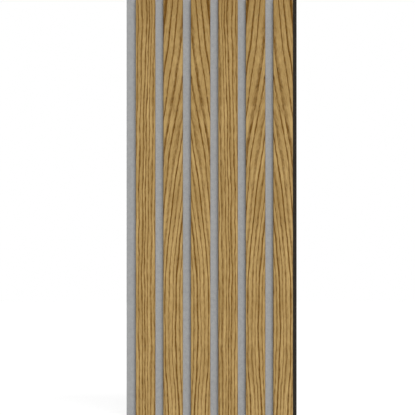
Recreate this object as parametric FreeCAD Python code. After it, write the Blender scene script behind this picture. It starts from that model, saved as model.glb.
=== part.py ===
# Acoustic slat wall panel: oak-veneered battens on a two-ply felt mat with lapped long edges.
# X runs across the panel, to the right as seen from the room. Y runs into the wall.
# Z runs up along the slats. The origin is the middle of the face that lies on the wall.
# All sizes are in millimetres.
import FreeCAD, Part
import math
import os

# Slats
slat_count = 6
slat_width = 28.5
slat_gap = 11.5
slat_depth = 12.0
veneer_thickness = 0.5
core_arris_radius = 0.7
panel_length = 610.0

# Felt mat
face_felt_thickness = 4.5
back_felt_thickness = 4.5
felt_edge_radius = 0.6

# Lapped long edges: the next panel's flange slips under the last slat and lies on this panel's lip
edge_tuck = 2.0
lip_reach = 5.8
lap_clearance = 0.5

# Staples
staple_rows = 4
staple_end_margin = 50.0
staple_crown = 6.0
staple_wire_thickness = 0.9
staple_wire_width = 1.2
staple_bend_radius = 0.5
staple_core_bite = 6.5
staple_chisel = 1.2
staple_sink = 0.3

# Derived places: across the panel
slat_pitch = slat_width + slat_gap
flange_width = edge_tuck + slat_gap
slats_span = slat_count * slat_pitch - slat_gap
panel_width = flange_width + slats_span + lip_reach
panel_left = -panel_width / 2
panel_right = panel_width / 2
first_slat_left = panel_left + flange_width
last_slat_right = panel_right - lip_reach
rebate_width = edge_tuck + lip_reach + lap_clearance

# Derived places: from the wall into the room, which is towards minus Y
wall_plane = 0.0
ply_plane = wall_plane - back_felt_thickness
felt_front = ply_plane - face_felt_thickness
slat_front = felt_front - slat_depth

# Derived staple sizes
staple_leg = back_felt_thickness + face_felt_thickness - staple_sink + staple_core_bite
staple_outer_bend = staple_bend_radius + staple_wire_thickness
row_spacing = (panel_length - 2 * staple_end_margin) / (staple_rows - 1)


def rounded_face(corners):
    """Flat face across the panel from corners (x, y, radius), each rounded where its radius is above zero."""
    points = [FreeCAD.Vector(x, y, 0) for x, y, radius in corners]
    entries = []
    exits = []
    arcs = []
    for index, (x, y, radius) in enumerate(corners):
        corner = points[index]
        to_last = (points[index - 1] - corner).normalize()
        to_next = (points[(index + 1) % len(points)] - corner).normalize()
        half_angle = to_last.getAngle(to_next) / 2
        setback = radius / math.tan(half_angle)
        entries.append(corner + to_last * setback)
        exits.append(corner + to_next * setback)
        inward = (to_last + to_next).normalize()
        arc_middle = corner + inward * (radius / math.sin(half_angle) - radius)
        arcs.append(Part.Arc(entries[-1], arc_middle, exits[-1]).toShape() if radius > 0 else None)
    edges = []
    for index in range(len(corners)):
        edges.append(Part.makeLine(exits[index - 1], entries[index]))
        if arcs[index]:
            edges.append(arcs[index])
    return Part.Face(Part.Wire(edges))


def full_length(face):
    """Solid of a section that runs from the bottom end of the panel to the top end."""
    solid = face.extrude(FreeCAD.Vector(0, 0, panel_length))
    solid.translate(FreeCAD.Vector(0, 0, -panel_length / 2))
    return solid


def batten(left, right, front, arris_radius):
    """Straight bar that stands on the felt, with both front arrises eased."""
    return full_length(rounded_face([
        (left, felt_front, 0),
        (left, front, arris_radius),
        (right, front, arris_radius),
        (right, felt_front, 0),
    ]))


def staple_solid(crown_cover):
    """One staple about the origin, crown along X and legs towards the room, with a cover on its crown."""
    half_crown = staple_crown / 2
    inner_half = half_crown - staple_wire_thickness
    outer_bend = 0 if crown_cover > 0 else staple_outer_bend
    outline = [
        (-half_crown, -staple_leg, 0),
        (-half_crown, crown_cover, outer_bend),
        (half_crown, crown_cover, outer_bend),
        (half_crown, -staple_leg, 0),
        (inner_half, -staple_leg + staple_chisel, 0),
        (inner_half, -staple_wire_thickness, staple_bend_radius),
        (-inner_half, -staple_wire_thickness, staple_bend_radius),
        (-inner_half, -staple_leg + staple_chisel, 0),
    ]
    solid = rounded_face(outline).extrude(FreeCAD.Vector(0, 0, staple_wire_width))
    solid.translate(FreeCAD.Vector(0, 0, -staple_wire_width / 2))
    return solid


def staple_column(solid, slat_middle):
    """Copies of the solid in every staple row of one slat."""
    copies = []
    for row in range(staple_rows):
        height = -panel_length / 2 + staple_end_margin + row * row_spacing
        copies.append(solid.translated(FreeCAD.Vector(slat_middle, wall_plane - staple_sink, height)))
    return copies


# Mat: two felt plies, shifted across so that one long edge has a flange and the other a lip
face_felt = full_length(rounded_face([
    (panel_left, ply_plane, felt_edge_radius),
    (panel_left, felt_front, felt_edge_radius),
    (last_slat_right - edge_tuck, felt_front, 0),
    (last_slat_right - edge_tuck, ply_plane, 0),
]))
back_felt = full_length(rounded_face([
    (panel_left + rebate_width, wall_plane, 0),
    (panel_left + rebate_width, ply_plane, 0),
    (panel_right, ply_plane, felt_edge_radius),
    (panel_right, wall_plane, felt_edge_radius),
]))

# Slats: a core with a veneer wrapped over its front and sides, stapled on through the mat
staple = staple_solid(0)
staple_pocket = staple_solid(staple_sink)
staples = []
pockets = []
nodes = {}
for slat in range(slat_count):
    left = first_slat_left + slat * slat_pitch
    right = left + slat_width
    core_front = slat_front + veneer_thickness
    core = batten(left + veneer_thickness, right - veneer_thickness, core_front, core_arris_radius)
    wrapped = batten(left, right, slat_front, core_arris_radius + veneer_thickness)
    slat_middle = (left + right) / 2
    slat_pockets = staple_column(staple_pocket, slat_middle)
    nodes["slat_veneer_%d" % (slat + 1)] = wrapped.cut(core)
    nodes["slat_core_%d" % (slat + 1)] = core.cut(slat_pockets)
    staples.extend(staple_column(staple, slat_middle))
    pockets.extend(slat_pockets)

nodes["face_felt"] = face_felt.cut(pockets)
nodes["back_felt"] = back_felt.cut(pockets)
nodes["staples"] = Part.makeCompound(staples)

os.makedirs("parts", exist_ok=True)
for name, shape in nodes.items():
    shape.exportStep("parts/%s.step" % name)
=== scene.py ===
# Acoustic slat wall panel: oak-veneered battens, glued and stapled to a mat of two felt plies.
# The sections follow the way the panel is put together, from the wall outwards, and then set up the studio.
# Lengths are in metres, and in the materials in millimetres.
import math

import bmesh
import bpy
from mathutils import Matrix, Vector, noise


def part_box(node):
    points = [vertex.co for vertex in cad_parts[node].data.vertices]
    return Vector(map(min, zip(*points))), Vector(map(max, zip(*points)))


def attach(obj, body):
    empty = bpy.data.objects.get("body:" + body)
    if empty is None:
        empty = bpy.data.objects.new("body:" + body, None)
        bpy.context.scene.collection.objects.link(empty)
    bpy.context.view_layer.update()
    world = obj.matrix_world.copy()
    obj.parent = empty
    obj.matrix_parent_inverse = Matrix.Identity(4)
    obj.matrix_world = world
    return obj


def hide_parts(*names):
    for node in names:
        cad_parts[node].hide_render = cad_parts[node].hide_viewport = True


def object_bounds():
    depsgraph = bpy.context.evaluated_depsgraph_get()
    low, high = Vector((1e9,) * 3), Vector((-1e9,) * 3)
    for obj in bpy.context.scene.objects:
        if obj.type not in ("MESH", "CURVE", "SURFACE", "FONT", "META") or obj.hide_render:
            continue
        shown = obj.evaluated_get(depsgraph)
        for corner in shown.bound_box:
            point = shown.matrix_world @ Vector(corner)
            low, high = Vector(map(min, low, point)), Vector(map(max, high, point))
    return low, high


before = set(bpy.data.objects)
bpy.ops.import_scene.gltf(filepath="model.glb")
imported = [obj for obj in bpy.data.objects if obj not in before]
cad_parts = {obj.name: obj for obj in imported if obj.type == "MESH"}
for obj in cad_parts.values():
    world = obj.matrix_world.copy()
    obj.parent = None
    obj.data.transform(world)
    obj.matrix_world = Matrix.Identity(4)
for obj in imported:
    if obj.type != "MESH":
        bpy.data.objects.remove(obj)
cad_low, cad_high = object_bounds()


# Back ply of the mat: a sheet of black needled polyester felt, pressed to a board and laid on the wall.
# Its right edge stands out past the slats as the lip that carries the next panel's flange.
# Each staple pulls a shallow dimple into its back.
mm = 0.001
touch = 0.01 * mm
sharp_angle = 40
felt_edge_radius = 0.6 * mm
felt_edge_segments = 4
dimple_depth = 0.9 * mm
dimple_half_width = 4.6 * mm
dimple_half_height = 2.2 * mm
dimple_fall = 1.6
dimple_reach = 2.0
dimple_cuts = 12
staple_rows = 4
staple_wire_width = 1.2 * mm
slat_numbers = range(1, 1 + sum(name.startswith("slat_core_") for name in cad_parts))
fibre_angles = (12, 48, 84, 120, 156)
fibre_length = 3.2
fibre_width = 0.22
fibre_depth = 1.5
curl_size = 2.5
curl_reach = 1.6
pale_fibre_share = 0.6
dark_fibre_share = 0.7
tuft_width = 5.0
tuft_height = 6.0
tuft_contrast = 0.28
patch_width = 40.0
patch_height = 55.0
patch_contrast = 0.09
black_ground = (0.0265, 0.0232, 0.0196)
black_pale_fibre = (0.095, 0.091, 0.086)
black_dark_fibre = (0.0100, 0.0088, 0.0076)


class Wire:
    """A socket among a material's nodes. Sums on it add Math nodes, and add() puts in any other node."""

    def __init__(self, tree, socket):
        self.tree = tree
        self.socket = socket

    def add(self, kind, settings, inputs, output=0):
        """New node of that kind: its settings are made first, and then its sockets are filled or linked."""
        node = self.tree.nodes.new("ShaderNode" + kind)
        for name, setting in settings.items():
            setattr(node, name, setting)
        plug(self.tree, node, inputs)
        return Wire(self.tree, node.outputs[output])

    def math(self, operation, *terms):
        return self.add("Math", {"operation": operation}, dict(enumerate(terms)))

    def __add__(self, other):
        return self.math("ADD", self, other)

    def __radd__(self, other):
        return self.math("ADD", other, self)

    def __sub__(self, other):
        return self.math("SUBTRACT", self, other)

    def __rsub__(self, other):
        return self.math("SUBTRACT", other, self)

    def __mul__(self, other):
        return self.math("MULTIPLY", self, other)

    def __rmul__(self, other):
        return self.math("MULTIPLY", other, self)

    def __truediv__(self, other):
        return self.math("DIVIDE", self, other)

    def __rtruediv__(self, other):
        return self.math("DIVIDE", other, self)

    def __pow__(self, other):
        return self.math("POWER", self, other)

    def __rpow__(self, other):
        return self.math("POWER", other, self)

    def ease(self, start, end):
        """0 before start and 1 after end, with a soft change between them."""
        limits = {"Value": self, "From Min": start, "From Max": end}
        return self.add("MapRange", {"interpolation_type": "SMOOTHSTEP"}, limits)

    def blend(self, none, full):
        """Colour between two, by this value from 0 to 1."""
        return self.add("Mix", {"data_type": "RGBA"}, {0: self, 6: none, 7: full}, output=2)

    def tint(self, colour):
        """The colour times this value."""
        return self.add("VectorMath", {"operation": "SCALE"}, {0: colour, 3: self})

    def cloud(self, x, y, z, detail=2.0):
        """Soft noise from 0 to 1 at that place, with features about one unit across."""
        place = self.add("CombineXYZ", {}, {0: x, 1: y, 2: z})
        return self.add("TexNoise", {}, {"Vector": place, "Scale": 1.0, "Detail": detail})


def plug(tree, node, inputs):
    """Links each wire to its socket of the node, and sets each plain value on its socket."""
    for key, value in inputs.items():
        if isinstance(value, Wire):
            tree.links.new(value.socket, node.inputs[key])
        else:
            node.inputs[key].default_value = value


def new_surface(name):
    """Empty material, its shader, and the place on the surface as three values in millimetres."""
    material = bpy.data.materials.new(name)
    material.use_nodes = True
    tree = material.node_tree
    shader = tree.nodes["Principled BSDF"]
    place = Wire(tree, tree.nodes.new("ShaderNodeTexCoord").outputs["Object"])
    axes = [place.add("SeparateXYZ", {}, {0: place}, output=axis) / mm for axis in range(3)]
    return material, shader, axes


def needled_felt(name, ground, pale_fibre, dark_fibre):
    """Pressed felt: short fibres that lie every way in the sheet, a few paler and darker than the ground."""
    material, shader, (x, y, z) = new_surface(name)
    slant = x + y
    # Layers of curled fibres, each at an angle of its own and in a noise of its own
    layers = []
    for number, degrees in enumerate(fibre_angles):
        angle = math.radians(degrees)
        along = slant * math.cos(angle) + z * math.sin(angle)
        across = z * math.cos(angle) - slant * math.sin(angle)
        curl = along.cloud(along / curl_size, across / curl_size, 3.0 + number)
        bent = across + curl * curl_reach
        under = y / fibre_depth + 7.0 * number
        layers.append(along.cloud(along / fibre_length, bent / fibre_width, under, detail=1.0))
    strongest = layers[0]
    weakest = layers[0]
    for layer in layers[1:]:
        strongest = layer.math("MAXIMUM", strongest, layer)
        weakest = layer.math("MINIMUM", weakest, layer)
    # Colour: the ground, the pale fibres, the dark fibres, and the tufts and patches in all of them
    pale = strongest.ease(0.62, 0.78) * pale_fibre_share
    dark = weakest.ease(0.38, 0.22) * dark_fibre_share
    fibres = dark.blend(pale.blend((*ground, 1), (*pale_fibre, 1)), (*dark_fibre, 1))
    tufts = x.cloud(slant / tuft_width, y / tuft_width, z / tuft_height) - 0.5
    patches = x.cloud(slant / patch_width, y / patch_width, z / patch_height) - 0.5
    mottle = 1 + tufts * tuft_contrast + patches * patch_contrast
    lie = x.add("Bump", {}, {"Strength": 0.35, "Distance": 0.25 * mm, "Height": strongest - weakest})
    plug(material.node_tree, shader, {
        "Base Color": mottle.tint(fibres),
        "Roughness": 0.95,
        "Specular IOR Level": 0.0,
        "Normal": lie,
    })
    return material


def box_between(low, high):
    """Closed box between two corners, as a bmesh."""
    bm = bmesh.new()
    bmesh.ops.create_cube(bm, size=1.0)
    bmesh.ops.scale(bm, vec=high - low, verts=bm.verts)
    bmesh.ops.translate(bm, vec=(low + high) / 2, verts=bm.verts)
    return bm


def upright_edges(bm, x):
    """Edges that run along the slats at that place across the panel."""
    return [
        edge for edge in bm.edges
        if all(abs(v.co.x - x) < touch for v in edge.verts)
        and abs(edge.verts[0].co.z - edge.verts[1].co.z) > touch
    ]


def round_edges(bm, edges, radius, segments):
    bmesh.ops.bevel(
        bm, geom=edges, offset=radius, segments=segments, profile=0.5, affect="EDGES", material=-1)


def cut_loops(bm, axis, places):
    """Loops of edges right round the piece, one in each plane across the axis."""
    for place in places:
        everything = bm.verts[:] + bm.edges[:] + bm.faces[:]
        bmesh.ops.bisect_plane(bm, geom=everything, plane_co=axis * place, plane_no=axis, dist=touch)


def new_piece(name, bm, material):
    """Object of the finished bmesh, smooth apart from its sharp edges."""
    mesh = bpy.data.meshes.new(name)
    bm.to_mesh(mesh)
    bm.free()
    mesh.polygons.foreach_set("use_smooth", [True] * len(mesh.polygons))
    mesh.set_sharp_from_angle(angle=math.radians(sharp_angle))
    mesh.materials.append(material)
    piece = bpy.data.objects.new(name, mesh)
    bpy.context.scene.collection.objects.link(piece)
    return piece


across_axis = Vector((1, 0, 0))
up_axis = Vector((0, 0, 1))
back_low, back_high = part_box("back_felt")
staples_low, staples_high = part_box("staples")
lowest_row = staples_low.z + staple_wire_width / 2
row_spacing = (staples_high.z - staples_low.z - staple_wire_width) / (staple_rows - 1)
row_heights = [lowest_row + row * row_spacing for row in range(staple_rows)]
slat_middles = [sum(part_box(f"slat_core_{number}"), Vector()).x / 2 for number in slat_numbers]
dimple_steps = [dimple_reach * cut / dimple_cuts for cut in range(-dimple_cuts, dimple_cuts + 1)]

back = box_between(back_low, back_high)
round_edges(back, upright_edges(back, back_high.x), felt_edge_radius, felt_edge_segments)
cut_loops(back, across_axis, [m + step * dimple_half_width for m in slat_middles for step in dimple_steps])
cut_loops(back, up_axis, [h + step * dimple_half_height for h in row_heights for step in dimple_steps])
for vertex in back.verts:
    if vertex.co.y < back_high.y - touch:
        continue
    middle = min(slat_middles, key=lambda m: abs(m - vertex.co.x))
    height = min(row_heights, key=lambda h: abs(h - vertex.co.z))
    reach = math.hypot((vertex.co.x - middle) / dimple_half_width, (vertex.co.z - height) / dimple_half_height)
    vertex.co.y -= dimple_depth * math.exp(-dimple_fall * reach * reach)

black_felt = needled_felt("black_felt", black_ground, black_pale_fibre, black_dark_fibre)
back_ply = new_piece("back_felt_ply", back, black_felt)
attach(back_ply, "root")
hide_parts("back_felt")


# Face ply of the mat: the same needled felt in grey, glued to the back ply and shifted to the left.
# Its left edge is the flange that slips under the next panel's last slat.
# The slats press it down a little, so it swells in the gaps between them.
gap_swell = 0.25 * mm
felt_unevenness = 0.12 * mm
unevenness_width = 14 * mm
gap_steps = (0.0, 0.1, 0.25, 0.4, 0.6, 0.75, 0.9, 1.0)
length_steps = 60
grey_ground = (0.336, 0.342, 0.346)
grey_pale_fibre = (0.470, 0.476, 0.480)
grey_dark_fibre = (0.210, 0.214, 0.218)

face_low, face_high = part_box("face_felt")
slat_lefts = [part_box(f"slat_veneer_{number}")[0].x for number in slat_numbers]
slat_rights = [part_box(f"slat_veneer_{number}")[1].x for number in slat_numbers]
gaps = list(zip(slat_rights, slat_lefts[1:]))

face = box_between(face_low, face_high)
round_edges(face, upright_edges(face, face_low.x), felt_edge_radius, felt_edge_segments)
cut_loops(face, across_axis, [a + (b - a) * step for a, b in gaps for step in gap_steps])
cut_loops(face, across_axis, [face_low.x + (slat_lefts[0] - face_low.x) * step for step in gap_steps[1:]])
piece_length = face_high.z - face_low.z
cut_loops(face, up_axis, [face_low.z + piece_length * step / length_steps for step in range(1, length_steps)])
for vertex in face.verts:
    if vertex.co.y > face_low.y + touch:
        continue
    dip = felt_unevenness * (noise.noise(vertex.co / unevenness_width) - 1) / 2
    for a, b in gaps:
        if a + touch < vertex.co.x < b - touch:
            share = (vertex.co.x - a) / (b - a)
            vertex.co.y -= 4 * gap_swell * share * (1 - share) + dip
    if vertex.co.x < slat_lefts[0] - touch:
        vertex.co.y -= dip

grey_felt = needled_felt("grey_felt", grey_ground, grey_pale_fibre, grey_dark_fibre)
face_ply = new_piece("face_felt_ply", face, grey_felt)
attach(face_ply, "root")
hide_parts("face_felt")


# Batten cores: straight strips sawn from fibreboard, glued and stapled to the face ply.
# They show only at the sawn ends, as fine brown fibre with a denser, darker skin at both faces.
board_skin = 2.5
skin_tone = 0.78
board_fibre_width = 0.35
board_fibre_thickness = 0.22
flake_width = 1.4
flake_thickness = 0.5
flake_share = 0.7
board_brown = (0.300, 0.190, 0.098)
board_pale_fibre = (0.440, 0.310, 0.180)
board_dark_fibre = (0.130, 0.075, 0.036)

core_low, core_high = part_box("slat_core_1")
fibreboard, board_shader, (x, y, z) = new_surface("fibreboard")
fine = x.cloud(x / board_fibre_width, y / board_fibre_thickness, z / board_fibre_width, detail=3.0)
flakes = x.cloud(x / flake_width, y / flake_thickness, z / flake_width)
under_skin = y.math("MINIMUM", y - core_low.y / mm, core_high.y / mm - y)
tone = under_skin.ease(0.0, board_skin) * (1 - skin_tone) + skin_tone
board = fine.ease(0.52, 0.75).blend((*board_brown, 1), (*board_pale_fibre, 1))
board = (flakes.ease(0.42, 0.25) * flake_share).blend(board, (*board_dark_fibre, 1))
plug(fibreboard.node_tree, board_shader, {
    "Base Color": tone.tint(board),
    "Roughness": 0.9,
    "Specular IOR Level": 0.2,
    "Normal": x.add("Bump", {}, {"Strength": 0.4, "Distance": 0.2 * mm, "Height": fine}),
})
for number in slat_numbers:
    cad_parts[f"slat_core_{number}"].material_slots[0].material = fibreboard


# Slat veneers: lacquered oak, sliced half a millimetre thick, wrapped over the front and sides of a batten.
# The leaves are book-matched, so two slats mirror each other about the gap between them. The crown of the
# log gives the slats beside that gap slanting grain, and the slats further out straight grain.
arris_radius = 1.2 * mm
arris_segments = 6
veneer_thickness = 0.5 * mm
crown_foot = -125.0
crown_top = 220.0
crown_round = 110.0
crown_slope = 0.0825
foot_slope = 0.0225
swing_start = 60.0
swing_end = 230.0
swing_reach = 8.0
crown_widening = 0.44
fan_centre = 52.0
first_year = 24.66
year_unevenness = 1.3
uneven_width = 9.0
band_rise = 0.07
band_fall = (0.12, 0.58)
band_widening = 0.4
faintest_year = 0.53
boldest_year = 1.35
band_floor = 0.25
fleck_share = 0.55
late_share = 0.42
pores_in_band = 0.7
pores_elsewhere = 0.2
shade_contrast = 1.5
fibre_tone = 0.7
fleck_tone = 0.3
pale_level = 0.64
# Towards the top every slat turns more tan: partly the oak's own tone, partly painted shade where the light
# falls off upwards.
top_tan_and_painted_shade_start = 180.0
top_tan_and_painted_shade_end = 280.0
top_tan_and_painted_shade_share = 0.28
pale_start = 20.0
pale_end = -120.0
pale_share = 0.13
pale_fade = 0.1
oak_pale = (0.545, 0.366, 0.140)
oak_tan = (0.350, 0.218, 0.068)
oak_brown = (0.145, 0.064, 0.0060)
oak_pore = (0.060, 0.027, 0.0045)


def oak_veneer(name, slat_middle, mirror_line, ring_width, crown, leaf):
    """Crown-cut oak on one slat: growth rings that lean towards the mirror line, with dashes of open pores."""
    material, shader, (x, y, z) = new_surface(name)

    def by_cut(straight, crowned):
        """A measure between its value in straight grain and its value in crown grain."""
        return straight + crown * (crowned - straight)

    def stray(reach, width, length, layer, detail=1.0):
        """How far the rings stray to either side, in patches that wide and long."""
        return (out.cloud(out / width, z / length, leaf + layer, detail) - 0.5) * reach

    def along_grain(per_ring, length, layer, detail=1.0):
        """Noise drawn out along the rings: so many streaks to a ring, and that long."""
        return flow.cloud(flow * per_ring, z / length, leaf + layer, detail)

    # The veneer laid flat: how far out from the mirror line, round the arrises and down the sides
    side = x.math("SIGN", x - slat_middle)
    unrolled = x + side * (y - cad_low.y / mm)
    out = (unrolled - mirror_line) * math.copysign(1, slat_middle - mirror_line)
    # Depth in the log: the rings lean, widen towards the crown, and stray, most where they run straight
    widening = 1 - z.ease(crown_foot, crown_top) * (crown * crown_widening)
    bend = ((z - crown_foot) ** 2 + crown_round ** 2) ** 0.5
    lean = (bend * crown_slope + z * foot_slope + z.ease(swing_start, swing_end) * swing_reach) * crown
    drift = stray(5.0, width=26.0, length=120.0, layer=0.0)
    waver = stray(by_cut(4.0, 2.4), width=9.0, length=55.0, layer=5.0)
    jog = stray(by_cut(1.8, 1.2), width=3.0, length=18.0, layer=7.0, detail=2.0)
    depth = (out + lean - fan_centre + (drift + waver + jog)) * widening
    # Rings: uneven years, each with a dark band of early wood that is bolder in some years than in others
    flow = depth / ring_width
    spacing = out.cloud(depth / uneven_width, 0.0, leaf + 11.0, detail=1.0) - 0.5
    ring = flow + spacing * year_unevenness
    phase = ring.math("FRACT", ring)
    year = ring.math("FLOOR", ring)
    chance = ring.add("TexWhiteNoise", {"noise_dimensions": "1D"}, {"W": year + first_year})
    boldness = chance * (boldest_year - faintest_year) + faintest_year
    band = phase.ease(0.0, band_rise) * (1 - (phase / widening ** band_widening).ease(*band_fall))
    # What runs along the grain: streaks, flecks, fine lines of late wood, fibres and pores
    streak = along_grain(1.7, length=30.0, layer=17.0)
    fleck = along_grain(3.0, length=10.0, layer=19.0, detail=2.0).ease(0.3, 0.7)
    late = along_grain(5.0, length=22.0, layer=37.0, detail=2.0).ease(0.46, 0.7)
    fibre = along_grain(34.0, length=12.0, layer=29.0)
    foot = z.ease(pale_start, pale_end) * crown
    strength = boldness * by_cut(0.78, 1.0) * (1 - foot * pale_fade)
    early = band * strength * (streak + fleck * fleck_share + band_floor)
    pores = along_grain(12.0, length=6.0, layer=23.0).ease(0.52, 0.7)
    pores = pores * (early * pores_in_band + pores_elsewhere)
    # Colour, from broad pale and tan shades to the brown bands and the dark pores
    shade = along_grain(by_cut(0.8, 0.4), length=90.0, layer=31.0) * shade_contrast
    # The band at the top darkens every slat: partly the oak's own tone, partly painted shade.
    shade = shade + z.ease(top_tan_and_painted_shade_start, top_tan_and_painted_shade_end) * top_tan_and_painted_shade_share - foot * pale_share
    tan = shade + fibre * fibre_tone + fleck * fleck_tone - pale_level
    brown = early.math("MAXIMUM", early, late * late_share)
    grain = tan.blend((*oak_pale, 1), (*oak_tan, 1))
    grain = brown.blend(grain, (*oak_brown, 1))
    grain = pores.blend(grain, (*oak_pore, 1))
    height = fibre * 0.3 - pores - early * 0.4
    plug(material.node_tree, shader, {
        "Base Color": grain,
        "Roughness": 0.5 + early * 0.12 + fibre * 0.08,
        "Specular IOR Level": 0.12,
        "Normal": x.add("Bump", {}, {"Strength": 0.25, "Distance": 0.12 * mm, "Height": height}),
    })
    return material


mirror_gaps = [sum(gaps[1]) / 2, sum(gaps[4]) / 2]
leaves = [  # mirror line, ring width in millimetres, share of the crown, leaf in the stack
    (mirror_gaps[0], 4.5, 0.15, 2.0),
    (mirror_gaps[0], 5.2, 1.0, 2.0),
    (mirror_gaps[0], 5.2, 1.0, 2.05),
    (mirror_gaps[0], 4.5, 0.15, 2.1),
    (mirror_gaps[1], 5.2, 1.0, 2.15),
    (mirror_gaps[1], 5.2, 1.0, 2.2),
]
for number, middle, (mirror_line, ring_width, crown, leaf) in zip(slat_numbers, slat_middles, leaves):
    veneer_low, veneer_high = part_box(f"slat_veneer_{number}")
    wrap = box_between(veneer_low, veneer_high)
    open_sides = [side for side in wrap.faces if side.normal.y > 0.5 or abs(side.normal.z) > 0.5]
    bmesh.ops.delete(wrap, geom=open_sides, context="FACES")
    arrises = [
        edge for edge in wrap.edges
        if all(v.co.y < veneer_low.y + touch for v in edge.verts)
        and abs(edge.verts[0].co.z - edge.verts[1].co.z) > touch
    ]
    round_edges(wrap, arrises, arris_radius, arris_segments)
    bmesh.ops.solidify(wrap, geom=wrap.faces[:], thickness=veneer_thickness)
    oak = oak_veneer(f"oak_{number}", middle / mm, mirror_line / mm, ring_width, crown, leaf)
    veneer = new_piece(f"oak_veneer_{number}", wrap, oak)
    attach(veneer, "root")
    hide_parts(f"slat_veneer_{number}")


# Staples: zinc-plated wire, bent to a crown with two chisel-pointed legs, shot through the mat into the cores.
# Only the crowns show, sunk in their dimples in the back ply.
spangle_width = 1.1
spangle_height = 0.5
zinc = (0.56, 0.57, 0.58)
zinc_dull = (0.34, 0.34, 0.35)

staple_wire, wire_shader, (x, y, z) = new_surface("staple_wire")
spangle = x.cloud(x / spangle_width, y / spangle_width, z / spangle_height, detail=3.0)
plug(staple_wire.node_tree, wire_shader, {
    "Base Color": spangle.ease(0.35, 0.7).blend((*zinc_dull, 1), (*zinc, 1)),
    "Metallic": 1.0,
    "Roughness": 0.28 + spangle * 0.25,
})
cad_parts["staples"].material_slots[0].material = staple_wire


# Studio: a white floor under the panel and a white surround, which light the panel less than they show.
# A broad key stands in front, a little to the right, and a narrow fill straight ahead reaches into the gaps.
# Two lamps at the sides and one behind light the edges and the back.
floor_half = 8.0
floor_white = 0.30
floor_glow = 0.73
ambient = 0.10
lamps = [  # degrees to the right of the front, degrees up, strength, degrees across
    ("key", 12, 30, 2.05, 22),
    ("fill", 0, 8, 1.01, 10),
    ("right", 118, 35, 1.2, 30),
    ("left", -118, 35, 1.2, 30),
    ("behind", 180, 25, 1.3, 30),
]


def in_view(tree):
    """1 for what is seen, straight or in metal and glass, and 0 for the light that falls on the panel."""
    path = tree.nodes.new("ShaderNodeLightPath")
    camera, glossy, transmission = (
        Wire(tree, path.outputs[f"Is {kind} Ray"]) for kind in ("Camera", "Glossy", "Transmission"))
    return camera.math("MINIMUM", camera + glossy + transmission, 1.0)


floor_mesh = bmesh.new()
bmesh.ops.create_grid(floor_mesh, x_segments=1, y_segments=1, size=floor_half)
bmesh.ops.translate(floor_mesh, vec=(0, 0, cad_low.z), verts=floor_mesh.verts)
floor_paint = bpy.data.materials.new("floor_white")
floor_paint.use_nodes = True
plug(floor_paint.node_tree, floor_paint.node_tree.nodes["Principled BSDF"], {
    "Base Color": (floor_white, floor_white, floor_white, 1),
    "Roughness": 1.0,
    "Specular IOR Level": 0.0,
    "Emission Color": in_view(floor_paint.node_tree).tint((floor_glow, floor_glow, floor_glow)),
    "Emission Strength": 1.0,
})
floor = new_piece("floor", floor_mesh, floor_paint)

world = bpy.data.worlds.new("studio")
bpy.context.scene.world = world
world.use_nodes = True
plug(world.node_tree, world.node_tree.nodes["Background"], {
    "Color": in_view(world.node_tree).blend((ambient, ambient, ambient, 1), (1, 1, 1, 1)),
})

for name, right, up, strength, spread in lamps:
    light = bpy.data.lights.new(name, "SUN")
    light.energy = strength
    light.angle = math.radians(spread)
    lamp = bpy.data.objects.new(name, light)
    turn, lift = math.radians(right), math.radians(up)
    towards = Vector((math.sin(turn) * math.cos(lift), -math.cos(turn) * math.cos(lift), math.sin(lift)))
    lamp.rotation_euler = towards.to_track_quat("Z", "Y").to_euler()
    bpy.context.scene.collection.objects.link(lamp)


# Camera: square on to the slats, at half the panel's height and far off.
# The panel's ends run out of the frame, as in the photograph.
seen_height = 603.6 * mm
camera_right = -6.07 * mm
lens = 400.0
sensor = 36.0
camera_data = bpy.data.cameras.new("camera")
camera_data.lens = lens
camera_data.sensor_width = sensor
camera = bpy.data.objects.new("camera", camera_data)
camera.location = (camera_right, cad_low.y - seen_height * lens / sensor, (cad_low.z + cad_high.z) / 2)
camera.rotation_euler = (math.radians(90), 0, 0)
bpy.context.scene.collection.objects.link(camera)
bpy.context.scene.camera = camera
bpy.context.scene.view_settings.view_transform = "Standard"
